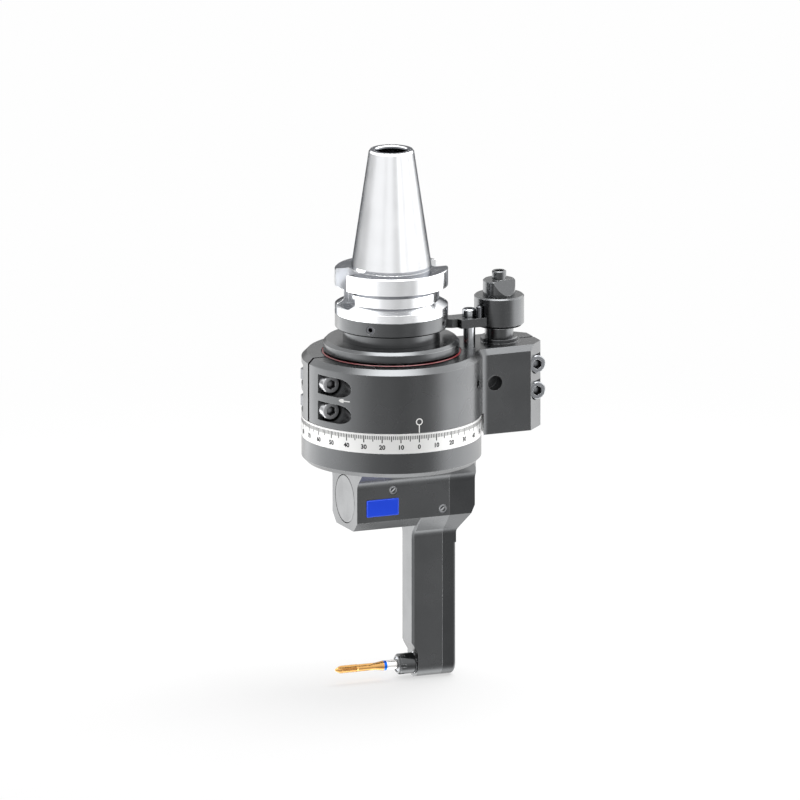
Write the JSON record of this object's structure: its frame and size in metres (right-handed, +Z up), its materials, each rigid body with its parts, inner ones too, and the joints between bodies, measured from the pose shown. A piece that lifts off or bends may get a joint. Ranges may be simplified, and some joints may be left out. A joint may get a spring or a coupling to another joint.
{
  "type": "angle head",
  "caption": "Right-angle milling and tapping head with a steep-taper shank, a sprung locating pin on a clamp ring, a graduated swivel ring and a slim offset arm holding a small tap",
  "frame": {"origin": "centre of the taper's gauge line on the spindle axis", "axes": "+Z up the taper towards the pull stud, +X towards the locating pin, -Y the front, the cutter points to -X"},
  "size_m": [0.1363, 0.1, 0.3021],
  "materials": {
    "ground_steel": "ground",
    "black_oxide": "satin black oxide",
    "black_body": "semi-gloss black",
    "screw_steel": "dark oil finish",
    "gear_steel": "ground",
    "bearing_steel": "polished",
    "seal_rubber": "matt",
    "scale_white": "satin",
    "tap_coating": "titanium nitride coating",
    "spring_steel": "drawn wire"
  },
  "bodies": {
    "head": {"head_body": "black_body", "main_bearing_outer": "bearing_steel", "main_bearing_rollers": "bearing_steel", "bearing_retainer": "black_oxide", "neck_seal": "seal_rubber", "scale_ring": "scale_white", "gear_case": "black_body", "gear_case_cover": "black_body", "cover_screws": "screw_steel", "bearing_cap": "black_oxide", "oil_plugs": "screw_steel", "tail_bearing_outer": "bearing_steel", "arm_bearing_outer": "bearing_steel", "spindle_bearing_outer": "bearing_steel"},
    "drive": {"taper_shank": "ground_steel", "lock_ring": "black_oxide", "lock_ring_screws": "screw_steel", "main_spindle": "gear_steel", "neck_spacer": "black_oxide", "flinger": "black_oxide", "main_bearing_inner": "bearing_steel", "main_lock_nut": "gear_steel", "drive_shaft": "gear_steel", "drive_gear": "gear_steel", "tail_bearing_inner": "bearing_steel"},
    "stop": {"clamp_ring": "black_body", "clamp_screws": "screw_steel", "clamp_nuts": "screw_steel", "pin_clamp_screws": "screw_steel", "pin_clamp_nuts": "screw_steel", "ring_set_screw": "screw_steel", "guide_post": "ground_steel", "pin_bush": "black_oxide", "pin_spring": "spring_steel"},
    "pin": {"pin_core": "black_oxide", "pin_sleeve": "black_oxide", "pin_retaining_ring": "black_oxide", "lock_lever": "black_oxide", "lever_dowel": "ground_steel"},
    "transfer": {"arm_shaft": "gear_steel", "arm_gear": "gear_steel", "arm_pinion": "gear_steel", "arm_bearing_inner": "bearing_steel"},
    "output": {"output_spindle": "gear_steel", "output_gear": "gear_steel", "spindle_bearing_inner": "bearing_steel", "collet": "ground_steel", "collet_nut": "black_oxide", "tap": "tap_coating"}
  },
  "joints": [
    {"name": "drive_spin", "type": "hinge", "parent": "head", "child": "drive", "pos_m": [0, 0, 0], "axis": [0, 0, 1], "continuous": true},
    {"name": "stop_swivel", "type": "hinge", "parent": "head", "child": "stop", "pos_m": [0, 0, 0], "axis": [0, 0, 1], "continuous": true},
    {"name": "pin_press", "type": "slide", "parent": "stop", "child": "pin", "axis": [0, 0, -1], "range_m": [0, 0.0029], "stiffness_N_per_m": 2000, "springref_m": -0.002, "deforming": ["pin_spring"]},
    {"name": "transfer_spin", "type": "hinge", "parent": "head", "child": "transfer", "pos_m": [0.022, 0, -0.129], "axis": [0, 0, 1], "continuous": true},
    {"name": "output_spin", "type": "hinge", "parent": "head", "child": "output", "pos_m": [0.013, 0, -0.229], "axis": [-1, 0, 0], "continuous": true}
  ],
  "couplings": [
    {"joint": "transfer_spin", "follows": "drive_spin", "ratio": -1},
    {"joint": "output_spin", "follows": "drive_spin", "ratio": -1}
  ]
}
